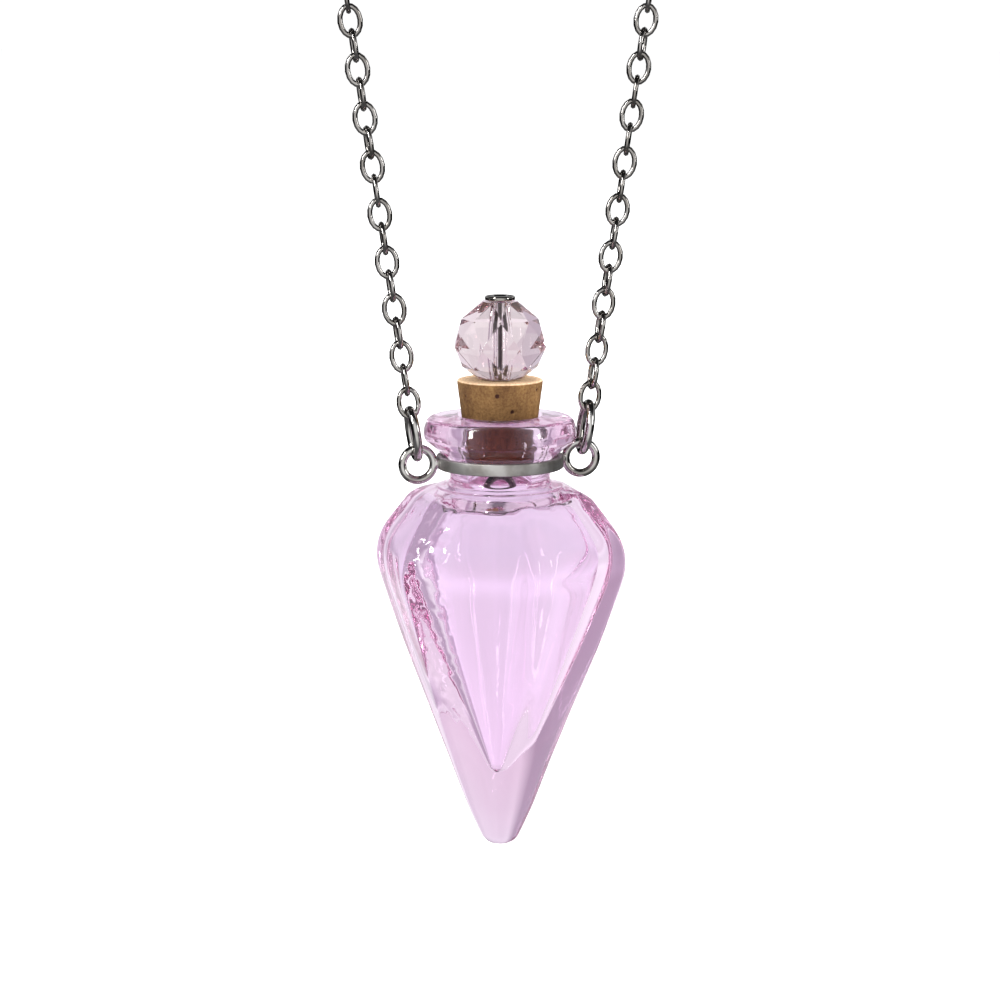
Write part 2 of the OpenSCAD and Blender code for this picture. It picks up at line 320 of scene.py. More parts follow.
def soft_line(corners, span, steps=6):
    """A line through corners (radius, height, rounding), rounded, with its points no more than span apart."""
    line = []
    for i, (r, z, rounding) in enumerate(corners):
        if rounding:
            line += rounded_corner(corners[i - 1][:2], (r, z), corners[i + 1][:2], rounding, steps)
        else:
            line.append((r, z))
    close = [line[0]]
    for p in line[1:]:
        q = close[-1]
        parts = max(1, math.ceil(math.dist(p, q) / span))
        close += [(q[0] + (p[0] - q[0]) * k / parts, q[1] + (p[1] - q[1]) * k / parts)
                  for k in range(1, parts + 1)]
    return close


def swollen(low, high, swell, steps=14):
    """Points between low and high of a line that swells out smoothly, as (radius, height, no rounding). The
    last is left out, which leaves room for the rounding of the corner at high."""
    line = []
    for k in range(1, steps - 1):
        share = k / steps
        line.append((low[0] + (high[0] - low[0]) * share + swell * 4 * share * (1 - share),
                     low[1] + (high[1] - low[1]) * share, 0))
    return line


def pick_rings(piece, *numbers):
    """In edit mode, selects the rings of the given numbers and nothing else."""
    bpy.ops.mesh.select_all(action="DESELECT")
    mesh = bmesh.from_edit_mesh(piece.data)
    tag = mesh.verts.layers.int["ring"]
    for v in mesh.verts:
        v.select_set(v[tag] in numbers)
    mesh.select_flush_mode()
    bmesh.update_edit_mesh(piece.data)


def number_ring(piece, number):
    """In edit mode, numbers the selected vertices as one ring."""
    mesh = bmesh.from_edit_mesh(piece.data)
    tag = mesh.verts.layers.int["ring"]
    for v in mesh.verts:
        if v.select:
            v[tag] = number
    bmesh.update_edit_mesh(piece.data)


def add_ring(piece, radius, height, rounding):
    """In edit mode, adds one ring: six-sided with rounded corners, or round where rounding is None."""
    bpy.ops.mesh.select_all(action="DESELECT")
    if rounding is None:
        bpy.ops.mesh.primitive_circle_add(vertices=RING_POINTS, radius=radius, location=(0, 0, height))
        return
    bpy.ops.mesh.primitive_circle_add(vertices=6, radius=radius, location=(0, 0, height))
    bpy.ops.mesh.bevel(offset=rounding * math.tan(math.radians(30)), offset_type="OFFSET",
                       segments=CORNER_STEPS, profile=0.5, affect="VERTICES", clamp_overlap=False)
    mesh = bmesh.from_edit_mesh(piece.data)
    ring = [e for e in mesh.edges if e.select]
    sides = sorted(ring, key=lambda e: e.calc_length())[-6:]
    bpy.ops.mesh.select_all(action="DESELECT")
    for e in sides:
        e.select_set(True)
    bmesh.update_edit_mesh(piece.data)
    bpy.ops.mesh.subdivide(number_cuts=SIDE_CUTS)
    bpy.ops.mesh.select_linked()


def loft(name, rings):
    """A closed skin through rings (radius, height, rounding or None), each joined to the next."""
    bpy.ops.mesh.primitive_circle_add(vertices=6, radius=rings[0][0], location=(0, 0, rings[0][1]))
    piece = settle(name)
    piece.data.attributes.new("ring", "INT", "POINT")
    edit(piece)
    bpy.ops.mesh.select_all(action="SELECT")
    bpy.ops.mesh.delete(type="VERT")
    last = None
    for number, (radius, height, rounding) in enumerate(rings, 1):
        if last and last[2] is None and rounding is None:
            # Round on round: the last ring is extruded and resized
            pick_rings(piece, number - 1)
            bpy.ops.mesh.extrude_edges_move(TRANSFORM_OT_translate={"value": (0, 0, height - last[1])})
            k = radius / last[0]
            bpy.ops.transform.resize(value=(k, k, 1), center_override=(0, 0, height))
            number_ring(piece, number)
        else:
            add_ring(piece, radius, height, rounding)
            number_ring(piece, number)
            if last:
                pick_rings(piece, number - 1, number)
                bpy.ops.mesh.bridge_edge_loops()
        last = (radius, height, rounding)
    for number in (1, len(rings)):
        pick_rings(piece, number)
        bpy.ops.mesh.edge_face_add()
        bpy.ops.mesh.poke()
    bpy.ops.object.mode_set(mode="OBJECT")
    outward(piece)
    return piece


def turned(name, line, sides, closed=True):
    """A piece turned on a lathe: a circle of the line's first point, extruded and resized to each next
    one. It is closed with a cap at each end, or left open."""
    radius, height = line[0]
    bpy.ops.mesh.primitive_circle_add(vertices=sides, radius=radius, location=(0, 0, height))
    piece = settle(name)
    edit(piece)
    bpy.ops.mesh.select_all(action="SELECT")
    if closed:
        bpy.ops.mesh.edge_face_add()
        bpy.ops.mesh.poke()
        pick(piece, lambda co: co.xy.length > radius * 0.5)
    for r, z in line[1:]:
        bpy.ops.mesh.extrude_edges_move(TRANSFORM_OT_translate={"value": (0, 0, z - height)})
        k = r / radius
        bpy.ops.transform.resize(value=(k, k, 1), center_override=(0, 0, z))
        radius, height = r, z
    if closed:
        bpy.ops.mesh.edge_face_add()
        bpy.ops.mesh.poke()
    bpy.ops.object.mode_set(mode="OBJECT")
    return piece


def ring_of_wire(name, r, wire_r, place, around, section):
    """A round ring of wire that stands in the plane of X and Z."""
    bpy.ops.mesh.primitive_torus_add(major_segments=around, minor_segments=section, major_radius=r,
                                     minor_radius=wire_r, location=place, rotation=(math.pi / 2, 0, 0))
    return settle(name)


def oval_of_wire(name, size, width, wire_r, around, section):
    """An oval of wire in the plane of X and Z, its lowest wire at the origin: a torus drawn out along Z."""
    bpy.ops.mesh.primitive_torus_add(major_segments=around, minor_segments=section, major_radius=width / 2,
                                     minor_radius=wire_r, rotation=(math.pi / 2, 0, 0))
    piece = settle(name)
    for v in piece.data.vertices:
        v.co.z += (size - width) / 2 * math.sin(math.atan2(v.co.z, v.co.x)) + size / 2
    return piece


# The way of the chain


def loop_place(m):
    """How far out from the axis the middles of the collar's loops are, and their height."""
    return COLLAR_HIGH.x - m.loop_wire_r - m.loop_r, (COLLAR_LOW.z + COLLAR_HIGH.z) / 2


def way_lengths(m):
    """Where the ring and the first link start along the way, the links' pitch, and where the clasp's eye
    starts."""
    ring = m.loop_r - m.loop_wire_r - m.ring_wire_r - m.link_gap
    link = ring + m.ring_len - m.ring_wire_r - m.link_wire_r - m.link_gap
    pitch = m.link_len - 2 * m.link_wire_r - m.link_gap
    eye = link + (m.link_count - 1) * pitch + m.link_len - m.link_wire_r - m.clasp_wire_r - m.link_gap
    return ring, link, pitch, eye


def on_way(m, side, s):
    """The turn and place, s along the way from the collar's loop, with +Z along it: straight, then an arc."""
    loop_x, loop_z = loop_place(m)
    eye = way_lengths(m)[3]
    way = eye + m.barrel_len / 2 + 2 * m.clasp_eye_r - m.clasp_wire_r
    lean = m.strand_lean
    crown_r = (way + loop_x / math.sin(lean)) / (1 / math.tan(lean) + math.pi / 2 + lean)
    straight = (crown_r * math.cos(lean) - loop_x) / math.sin(lean)
    crown_z = m.barrel_r
    turn = max(0.0, s - straight) / crown_r
    if turn == 0:
        place = (loop_x + s * math.sin(lean), 0, loop_z + s * math.cos(lean))
    else:
        place = (crown_r * math.cos(turn - lean), 0, crown_z - crown_r + crown_r * math.sin(turn - lean))
    right = Matrix.Translation(place) @ Matrix.Rotation(lean - turn, 4, "Y")
    across = Matrix.Scale(-1, 4, (1, 0, 0))
    return right if side > 0 else across @ right @ across


# Finishes


# A Mix node's sockets for colours, which share their names with those for numbers and vectors
MIX_A, MIX_B, MIXED = 6, 7, 2


def grey(value):
    """A linear grey, or the strength of a mask."""
    return value, value, value, 1.0


def node(tree, kind, inputs=(), stops=(), **settings):
    """Adds a shader node with its settings, fills or links its inputs, and sets a colour ramp's stops."""
    made = tree.nodes.new("ShaderNode" + kind)
    for key, value in settings.items():
        setattr(made, key, value)
    for key, value in dict(inputs).items():
        if isinstance(value, bpy.types.NodeSocket):
            tree.links.new(value, made.inputs[key])
        else:
            made.inputs[key].default_value = value
    if stops:
        elements = made.color_ramp.elements
        elements[0].position, elements[0].color = stops[0]
        elements[1].position, elements[1].color = stops[-1]
        for place, tint in stops[1:-1]:
            elements.new(place).color = tint
    return made


def new_material(name):
    """An empty material and its tree."""
    material = bpy.data.materials.new(name)
    material.use_nodes = True
    material.node_tree.nodes.clear()
    return material, material.node_tree


def coordinates(tree):
    """A piece's own coordinates, their height, and the same laid flat on the plane of X and Y, as sockets."""
    place = node(tree, "TexCoord").outputs["Object"]
    height = node(tree, "SeparateXYZ", {"Vector": place}).outputs["Z"]
    flat = node(tree, "VectorMath", {0: place, 1: (1.0, 1.0, 0.0)}, operation="MULTIPLY").outputs[0]
    return place, height, flat


def clear_glass(tree, surface, ior, normal, tint, density):
    """Finishes a material as clear glass, fully smooth, that is coloured as deep as it is thick."""
    skin = node(tree, "BsdfPrincipled", {"Base Color": linear(surface), "Roughness": 0.0, "IOR": ior,
                                         "Transmission Weight": 1.0, "Normal": normal})
    body = node(tree, "VolumeAbsorption", {"Color": tint, "Density": density})
    node(tree, "OutputMaterial", {"Surface": skin.outputs["BSDF"], "Volume": body.outputs["Volume"]})


def pressed_pink_glass():
    """Soda-lime glass tinted through, pressed in a mould and fire polished: clear, bright where it is thin
    and deep pink along thick edges, with faint long waves that bend what is seen through it."""
    b = bpy.context.scene.pendant_bottle
    material, tree = new_material("pressed_pink_glass")
    place, height, flat = coordinates(tree)
    # Waves about 5 mm apart, drawn out along the height as glass flows in its mould
    flow = node(tree, "Mapping", {"Vector": place, "Scale": (1.0, 1.0, 0.35)})
    waves = node(tree, "TexNoise", {"Vector": flow.outputs["Vector"], "Scale": 210.0, "Detail": 1.5,
                                    "Roughness": 0.4})
    wavy = node(tree, "Bump", {"Height": waves.outputs["Fac"], "Strength": 0.06, "Distance": 0.6 * MM})
    # Seeds and wrinkles 1 mm apart: where the halves of the mould met beside one corner, at the shoulder and
    # round the lip
    seam, seam_edge, seam_full = (math.radians(turn) for turn in (-51, 11, 7))
    way = node(tree, "VectorMath", {0: flat}, operation="NORMALIZE")
    near = node(tree, "VectorMath", {0: way.outputs[0], 1: (math.sin(seam), -math.cos(seam), 0.0)},
                operation="DOT_PRODUCT")
    beside = node(tree, "MapRange", {"Value": near.outputs["Value"], "From Min": math.cos(seam_edge),
                                     "From Max": math.cos(seam_full)})
    up = node(tree, "MapRange", {"Value": height, "From Min": TIP_Z, "From Max": TIP_Z + LIP_TOP}).outputs[0]
    girdle, shoulder, neck = (h / LIP_TOP for h in (b.girdle_h, b.shoulder_h, b.roof_h + b.neck_len))
    seamed = node(tree, "ValToRGB", {"Fac": up}, [
        (0.0, grey(0)), (girdle * 0.3, grey(0)), (girdle * 0.6, grey(1)), (shoulder, grey(1)),
        (shoulder + 0.03, grey(0))])
    all_round = node(tree, "ValToRGB", {"Fac": up}, [
        (0.0, grey(0)), (shoulder - 0.05, grey(0)), (shoulder - 0.02, grey(0.45)), (shoulder + 0.01, grey(0)),
        (neck, grey(0)), (neck + 0.04, grey(0.5))])
    corner = node(tree, "Math", {0: beside.outputs[0], 1: seamed.outputs["Color"]}, operation="MULTIPLY")
    either = node(tree, "Math", {0: corner.outputs[0], 1: all_round.outputs["Color"]}, operation="MAXIMUM")
    # Rings are numbered up the outside and down the hollow, and only the outside is wrinkled
    ring = node(tree, "Attribute", attribute_name="ring")
    outer = node(tree, "Math", {0: ring.outputs["Fac"], 1: b.skin_rings + 0.5}, operation="LESS_THAN")
    wrinkled = node(tree, "Math", {0: either.outputs[0], 1: outer.outputs[0]}, operation="MULTIPLY")
    strength = node(tree, "Math", {0: wrinkled.outputs[0], 1: 0.6}, operation="MULTIPLY")
    seeds = node(tree, "TexVoronoi", {"Vector": place, "Scale": 1050.0, "Smoothness": 0.8},
                 feature="SMOOTH_F1")
    pressed = node(tree, "Bump", {"Height": seeds.outputs["Distance"], "Strength": strength.outputs[0],
                                  "Distance": 0.22 * MM, "Normal": wavy.outputs["Normal"]})
    tint = bpy.context.scene.pendant_colours.glass
    clear_glass(tree, "#FAEFFC", 1.47, pressed.outputs["Normal"], tint, 30.0)
    return material


def cut_crystal():
    """Machine cut and polished crystal glass, faintly pink: flat bright facets that flash and split the
    light."""
    material, tree = new_material("cut_crystal")
    place = node(tree, "TexCoord").outputs["Object"]
    # Polishing leaves each facet a little uneven over about 2 mm
    uneven = node(tree, "TexNoise", {"Vector": place, "Scale": 480.0, "Detail": 0.0})
    bump = node(tree, "Bump", {"Height": uneven.outputs["Fac"], "Strength": 0.03, "Distance": 0.2 * MM})
    tint = bpy.context.scene.pendant_colours.crystal
    clear_glass(tree, "#FFFFFF", 1.56, bump.outputs["Normal"], tint, 75.0)
    return material


def cork_radius(z):
    """Radius of the cork at a height above the bottle's tip."""
    b, s = bpy.context.scene.pendant_bottle, bpy.context.scene.pendant_stopper
    base_r = b.bore_r - s.cork_gap
    return base_r + (s.cork_top_r - base_r) * (z - LIP_TOP + s.cork_in) / (s.cork_in + s.cork_out)


def natural_cork():
    """Natural cork: tan with darker growth grain, fine speckle and dark pits, with painted light that makes
    its top paler; the part in the bottle's mouth is painted darker and red-brown as painted shade, and shows
    through the pink glass."""
    tints, s = bpy.context.scene.pendant_colours, bpy.context.scene.pendant_stopper
    material, tree = new_material("natural_cork")
    place, height, flat = coordinates(tree)
    lip, top = LIP_TOP + TIP_Z, LIP_TOP + s.cork_out + TIP_Z
    # Growth bands some 1.5 mm wide run up the cork
    grain_way = node(tree, "Mapping", {"Vector": place, "Scale": (1.0, 1.0, 0.3),
                                       "Rotation": (0.2, 0.35, 0.0)})
    grain = node(tree, "TexNoise", {"Vector": grain_way.outputs["Vector"], "Scale": 700.0, "Detail": 5.0,
                                    "Roughness": 0.65, "Distortion": 0.4})
    side = node(tree, "ValToRGB", {"Fac": grain.outputs["Fac"]},
                [(0.34, tints.cork_grain), (0.62, tints.cork)])
    # Painted light: the top face takes a paler colour, as if lit from above
    painted_light_top = node(tree, "MapRange", {"Value": height, "From Min": top - 0.16 * MM,
                                     "From Max": top - 0.07 * MM})
    cork_above_mouth = node(tree, "Mix", {"Factor": painted_light_top.outputs[0], MIX_A: side.outputs["Color"],
                             MIX_B: tints.cork_top_painted_light}, data_type="RGBA")
    # The painted shade in the bottle's mouth ends in a wandering line below the lip's top
    ragged = node(tree, "Math", {0: grain.outputs["Fac"], 1: 2.4 * MM, 2: height}, operation="MULTIPLY_ADD")
    above_mouth_shade = node(tree, "MapRange", {"Value": ragged.outputs[0], "From Min": lip + 0.2 * MM,
                                         "From Max": lip + 0.7 * MM})
    body = node(tree, "Mix", {"Factor": above_mouth_shade.outputs[0], MIX_A: tints.cork_mouth_painted_shade,
                              MIX_B: cork_above_mouth.outputs[MIXED]}, data_type="RGBA")
    # Cork cells are 0.04 mm across, too fine to show: drawn as 0.2 mm speckle
    speckle = node(tree, "TexNoise", {"Vector": place, "Scale": 4600.0, "Detail": 2.0, "Roughness": 0.7})
    dotted = node(tree, "ValToRGB", {"Fac": speckle.outputs["Fac"]},
                  [(0.3, linear("#CCC3BA")), (0.62, grey(1.08))])
    speckled = node(tree, "Mix", {"Factor": 1.0, MIX_A: body.outputs[MIXED], MIX_B: dotted.outputs["Color"]},
                    data_type="RGBA", blend_type="MULTIPLY")
    # The pits are dark as deep as they lie under the cork's cone, and stop short of its top
    radius = node(tree, "VectorMath", {0: flat}, operation="LENGTH").outputs["Value"]
    rise = cork_radius(1.0) - cork_radius(0.0)
    cone = node(tree, "Math", {0: height, 1: rise, 2: cork_radius(0.0) - rise * TIP_Z},
                operation="MULTIPLY_ADD")
    depth = node(tree, "Math", {0: cone.outputs[0], 1: radius}, operation="SUBTRACT")
    pit = node(tree, "MapRange", {"Value": depth.outputs[0], "From Min": s.pit_depth * 0.35,
                                  "From Max": s.pit_depth * 0.7})
    below_top = node(tree, "Math", {0: height, 1: top - 0.3 * MM}, operation="LESS_THAN")
    in_pit = node(tree, "Math", {0: pit.outputs[0], 1: below_top.outputs[0]}, operation="MULTIPLY")
    shown = node(tree, "Mix", {"Factor": in_pit.outputs[0], MIX_A: speckled.outputs[MIXED],
                               MIX_B: tints.cork_pit}, data_type="RGBA")
    rough = node(tree, "Math", {0: speckle.outputs["Fac"], 1: grain.outputs["Fac"]}, operation="ADD")
    bump = node(tree, "Bump", {"Height": rough.outputs[0], "Strength": 0.5, "Distance": 0.08 * MM})
    cork = node(tree, "BsdfPrincipled", {
        "Base Color": shown.outputs[MIXED], "Roughness": 0.86, "Specular IOR Level": 0.3,
        "Normal": bump.outputs["Normal"]})
    node(tree, "OutputMaterial", {"Surface": cork.outputs["BSDF"]})
    return material


def polished_steel(name, handled, painted_shade_below=-1.0, brushed_within=0.0, wire=False):
    """Polished stainless steel: a bright mirror with hairline scratches, duller where it has been handled.
    The chain's drawn wire is painted darker as painted shade, the pin below its head is painted dark as
    painted shade, and the collar's band, within a radius of the axis, is brushed to an even light silver."""
    tints = bpy.context.scene.pendant_colours
    material, tree = new_material(name)
    place, height, flat = coordinates(tree)
    # Handling dulls it in patches some 2 mm across
    patches = node(tree, "TexNoise", {"Vector": place, "Scale": 420.0, "Detail": 3.0, "Roughness": 0.55})
    # Painted shade: the chain's wire takes darker tints than the other steel
    worn, clean = (tints.wire_worn_painted_shade, tints.wire) if wire else (tints.steel_worn, tints.steel)
    body = node(tree, "ValToRGB", {"Fac": patches.outputs["Fac"]}, [(0.38, worn), (0.58, clean)])
    # Painted shade: below a given height the steel takes a dark colour
    dark = node(tree, "Math", {0: height, 1: painted_shade_below}, operation="LESS_THAN")
    shaded = node(tree, "Mix", {"Factor": dark.outputs[0], MIX_A: body.outputs["Color"],
                                MIX_B: tints.steel_painted_shade}, data_type="RGBA")
    gloss = node(tree, "MapRange", {"Value": patches.outputs["Fac"], "From Min": 0.3, "From Max": 0.7,
                                    "To Min": 0.05 + handled, "To Max": 0.035})
    radius = node(tree, "VectorMath", {0: flat}, operation="LENGTH").outputs["Value"]
    brushed = node(tree, "MapRange", {"Value": radius, "From Min": brushed_within,
                                      "From Max": brushed_within + 0.2 * MM, "To Min": 0.5, "To Max": 0.0})
    rough = node(tree, "Math", {0: gloss.outputs[0], 1: brushed.outputs[0]}, operation="MAXIMUM")
    # Hairlines are some 0.01 mm wide, too fine to show: drawn 0.1 mm wide
    across = node(tree, "Mapping", {"Vector": place, "Scale": (0.3, 1.0, 1.0), "Rotation": (0.5, 0.3, 0.8)})
    hair = node(tree, "TexNoise", {"Vector": across.outputs["Vector"], "Scale": 9000.0, "Detail": 1.0})
    bump = node(tree, "Bump", {"Height": hair.outputs["Fac"], "Strength": 0.08, "Distance": 0.01 * MM})
    metal = node(tree, "BsdfPrincipled", {
        "Base Color": shaded.outputs[MIXED], "Metallic": 1.0, "Roughness": rough.outputs[0],
        "Normal": bump.outputs["Normal"]})
    node(tree, "OutputMaterial", {"Surface": metal.outputs["BSDF"]})
    return material


def findings_steel():
    """The steel that the connecting rings and the clasp share, made once."""
    return bpy.data.materials.get("polished_steel") or polished_steel("polished_steel", 0.06)


# The pieces


def clamp(value):
    """A number kept between 0 and 1."""
    return max(0.0, min(1.0, value))


def faded(value, low, high, fade_in, fade_out):
    """1 between low and high, and less within a fade of either end."""
    return clamp((value - low) / fade_in) * clamp((high - value) / fade_out)


def weight(vertex, group):
    """How strongly a vertex belongs to a vertex group."""
    return next((g.weight for g in vertex.groups if g.group == group.index), 0.0)


def wander(piece, name, spacing, group, strength, middle=0.5, depth=0):
    """Moves the vertices of a group in and out by soft waves as far apart as spacing."""
    waves = bpy.data.textures.get(name) or bpy.data.textures.new(name, "CLOUDS")
    waves.noise_scale, waves.noise_depth = spacing, depth
    modify(piece, "DISPLACE", texture=waves, texture_coords="LOCAL", vertex_group=group, strength=strength,
           mid_level=middle)


class PENDANT_OT_bottle(bpy.types.Operator):
    """Moulds the six-sided glass bottle: its outside, lip, mouth and hollow as one closed skin"""

    bl_idname = "pendant.bottle"
    bl_label = "Glass Bottle"

    def execute(self, context):
        b, s = context.scene.pendant_bottle, context.scene.pendant_stopper
        flare_h = b.roof_h + b.neck_len
        lip_h = flare_h + b.flare_len
        lip_len = LIP_TOP - lip_h
        # The long faces start here, above the rounded tip
        start_r, start_h = b.tip_r * 1.6, b.girdle_h * 0.055
        body = soft_line([(0.2 * MM, 0, 0), (b.tip_r, 0, b.tip_r),
                          *swollen((start_r, start_h), (b.girdle_r, b.girdle_h), b.swell),
                          (b.girdle_r, b.girdle_h, b.girdle_round),
                          (b.shoulder_r, b.shoulder_h, b.shoulder_round),
                          (b.neck_r + 3.2 * MM, b.roof_h - 0.62 * MM, 0)], 1.1 * MM)
        # Fire polishing leaves the edges rounder towards the tip
        rounder, rounder_below, over = 1.6 * MM, 19 * MM, 6 * MM
        rings = [(r, z, min(b.edge_round + rounder * clamp((rounder_below - z) / over), r * 0.6))
                 for r, z in body]
        # The roof turns from six-sided to round on its way to the neck
        foot = b.neck_r + 1.35 * MM
        rings += [(b.neck_r + 2.4 * MM, b.roof_h - 0.42 * MM, 3.4 * MM),
                  (foot + 0.45 * MM, b.roof_h - 0.28 * MM, 4.6 * MM)]
        cork_base = LIP_TOP - s.cork_in
        mouth_r = cork_radius(LIP_TOP) + s.cork_gap
        round_line = soft_line([
            (foot, b.roof_h - 0.2 * MM, 0), (b.neck_r, b.roof_h + 0.05 * MM, 0.6 * MM),
            (b.neck_r, flare_h, 0.6 * MM),
            (b.lip_r - 0.1 * MM, flare_h + (b.lip_r - 0.1 * MM - b.neck_r) / 1.2, 0.7 * MM),
            (b.lip_r, lip_h + lip_len * 0.45, 1.2 * MM),
            (b.lip_r - 0.35 * MM, LIP_TOP - b.lip_crown, 0.6 * MM),
            (mouth_r, LIP_TOP, 0.35 * MM), (b.bore_r, cork_base, 8 * MM),
            (b.bore_r, b.roof_h - b.roof_glass - 0.1 * MM, 0.3 * MM),
            (b.bore_r + 0.9 * MM, b.roof_h - b.roof_glass - 0.4 * MM, 0)], 0.6 * MM)
        outer_count = len(rings) + len(round_line)
        b.skin_rings = len(rings) + sum(1 for r, z in round_line if r > mouth_r)
        rings += [(r, z, None) for r, z in round_line]
        # The hollow follows the outside. Its corners are set nearer than an even wall, measured at a corner,
        # would put them, and rounding takes them back
        wall = b.glass_wall / math.cos(math.radians(30))
        hollow_girdle = b.girdle_r - wall * 0.75
        hollow_shoulder = b.shoulder_r - wall * 0.6
        hollow = soft_line([
            (b.bore_r + 2.2 * MM, b.roof_h - b.roof_glass - 0.85 * MM, 0),
            (hollow_shoulder, b.shoulder_h - b.roof_glass, 1.1 * MM),
            (hollow_girdle, b.girdle_h - wall * 0.1, b.girdle_round - b.glass_wall),
            *reversed(swollen((0.55 * MM, b.tip_glass + 0.35 * MM), (hollow_girdle, b.girdle_h - wall * 0.1),
                              0.3 * MM)),
            (0.55 * MM, b.tip_glass + 0.35 * MM, 0.4 * MM), (0.12 * MM, b.tip_glass, 0)], 1.1 * MM)
        # Moulded glass is rounder inside than out
        rings += [(r, z, r * 0.45) for r, z in hollow]
        piece = loft("bottle_glass", [(r, z + TIP_Z, k) for r, z, k in rings])
        inside = piece.vertex_groups.new(name="hollow")
        tag = piece.data.attributes["ring"].data
        inside.add([i for i, t in enumerate(tag) if t.value > outer_count], 1.0, "REPLACE")
        skin = piece.vertex_groups.new(name="skin")
        skin.add([i for i, t in enumerate(tag) if 0 < t.value <= len(body)], 1.0, "REPLACE")
        lip = piece.vertex_groups.new(name="lip")
        lip_rings = [len(rings) - len(hollow) - len(round_line) + k for k, (r, z) in enumerate(round_line, 1)
                     if z > flare_h + 1.1 * MM and r > mouth_r + 0.7 * MM]
        lip.add([i for i, t in enumerate(tag) if t.value in lip_rings], 1.0, "REPLACE")
        modify(piece, "SUBSURF", levels=1, render_levels=1)
        wander(piece, "glass_waves", 7 * MM, "hollow", b.wave)
        wander(piece, "glass_waves", 7 * MM, "skin", b.wave * 0.5)
        # The wall behind on the left is uneven, which breaks up the thick glass at that corner into streaks
        uneven = piece.vertex_groups.new(name="uneven")
        for v in piece.data.vertices:
            bearing = math.degrees(math.atan2(-v.co.x, v.co.y))
            up = (v.co.z - TIP_Z) / MM
            share = faded(bearing, 8, 105, 15, 15) * clamp((up - 6) / 3)
            if share and up * MM < b.shoulder_h and weight(v, skin):
                uneven.add([v.index], share, "REPLACE")
        wander(piece, "wall_streaks", 3 * MM, "uneven", b.back_wave)
        # A fold in the wall of the hollow, in front on the left, which catches the light as a curling streak
        fold_top, fold_width = 26, 0.55 * MM
        for v in piece.data.vertices:
            up, radius = (v.co.z - TIP_Z) / MM, v.co.xy.length
            along = faded(up, 16.5, fold_top, 2, 1.5)
            if along and weight(v, inside):
                middle = -38 + (fold_top - up) * 0.35 + 2.5 * math.sin(up / 1.1)
                off = radius * math.radians(math.degrees(math.atan2(v.co.x, -v.co.y)) - middle)
                rise = b.fold_rise * along * math.exp(-(off / fold_width) ** 2)
                v.co.xy *= 1 - rise / radius
        wander(piece, "lip_folds", 2.2 * MM, "lip", b.lip_wave, middle=0.6, depth=1)
        finish_piece(piece, pressed_pink_glass(), "bottle", "pink_glass", "bottle")
        return {"FINISHED"}


class PENDANT_OT_cork(bpy.types.Operator):
    """Cuts the tapered cork, drills it and opens its pores"""

    bl_idname = "pendant.cork"
    bl_label = "Cork Stopper"

    def execute(self, context):
        b, s = context.scene.pendant_bottle, context.scene.pendant_stopper
        base, top = LIP_TOP - s.cork_in + TIP_Z, LIP_TOP + s.cork_out + TIP_Z
        base_r = b.bore_r - s.cork_gap
        hole = s.pin_r + s.gap
        line = soft_line([
            (hole, base, 0), (base_r, base, 0.2 * MM), (s.cork_top_r, top, 0.22 * MM), (hole, top, 0)],
            0.16 * MM)
        piece = turned("stopper_cork", line, 144, closed=False)
        edit(piece)
        pick(piece, lambda co: co.xy.length < hole * 1.01)
        bpy.ops.mesh.bridge_edge_loops(number_cuts=12)
        bpy.ops.object.mode_set(mode="OBJECT")
        outward(piece)
        # Pits: bearing from the front, height below the top and radius; three in front and more all round
        draw = random.Random(3)
        pits = [(-19, 1.1, 0.28), (3, 2.55, 0.22), (47, 0.75, 0.2)]
        pits += [(draw.uniform(60, 320), draw.uniform(0.6, 7.6), draw.uniform(0.12, 0.3)) for _ in range(16)]
        for bearing, below, size in pits:
            r = cork_radius(top - TIP_Z - below * MM)
            out = Vector((math.sin(math.radians(bearing)), -math.cos(math.radians(bearing)), 0))
            place = out * r + Vector((0, 0, top - below * MM))
            for v in piece.data.vertices:
                share = (v.co - place).length / (size * MM)
                if share < 1:
                    v.co -= out * s.pit_depth * (1 - share * share)
        wander(piece, "cork_grain", 0.5 * MM, "", 0.05 * MM, middle=1.0, depth=2)
        finish_piece(piece, natural_cork(), "stopper", "cork", "cork_stopper", angle=50)
        return {"FINISHED"}


class PENDANT_OT_bead(bpy.types.Operator):
    """Cuts the faceted crystal bead and drills it"""

    bl_idname = "pendant.bead"
    bl_label = "Crystal Bead"

    def execute(self, context):
        s = context.scene.pendant_stopper
        base = LIP_TOP + s.cork_out + s.gap + TIP_Z
        start()
        bpy.ops.mesh.primitive_circle_add(vertices=s.bead_sides, radius=s.bead_r * 0.46,
                                          location=(0, 0, base), rotation=(0, 0, s.bead_turn))
        piece = settle("bead_crystal")
        edit(piece)
        # Shares of the radius and the height at each ring of corners, each turned half a side from the last
        corner_rings = [(0.76, 0.14), (1, 0.43), (0.78, 0.77), (0.38, 1)]
        for i, (r, z) in enumerate(corner_rings, 1):
            bpy.ops.mesh.primitive_circle_add(
                vertices=s.bead_sides, radius=s.bead_r * r, location=(0, 0, base + s.bead_h * z),
                rotation=(0, 0, math.pi / s.bead_sides * (i % 2) + s.bead_turn))
        bpy.ops.mesh.select_all(action="SELECT")
        bpy.ops.transform.rotate(value=math.pi / 2, orient_axis="Z", center_override=(0, 0, 0))
        bpy.ops.mesh.convex_hull()
        bpy.ops.object.mode_set(mode="OBJECT")
        outward(piece)
        modify(piece, "BEVEL", width=s.facet_edge, segments=1, limit_method="ANGLE",
               angle_limit=math.radians(5))
        bpy.ops.mesh.primitive_cylinder_add(vertices=32, radius=s.hole_r, depth=s.bead_h * 2,
                                            location=(0, 0, base + s.bead_h / 2))
        drill = settle("drill")
        modify(piece, "BOOLEAN", operation="DIFFERENCE", solver="EXACT", object=drill)
        bpy.data.objects.remove(drill)
        finish_piece(piece, cut_crystal(), "stopper", "pale_crystal", "crystal_bead", angle=0)
        return {"FINISHED"}


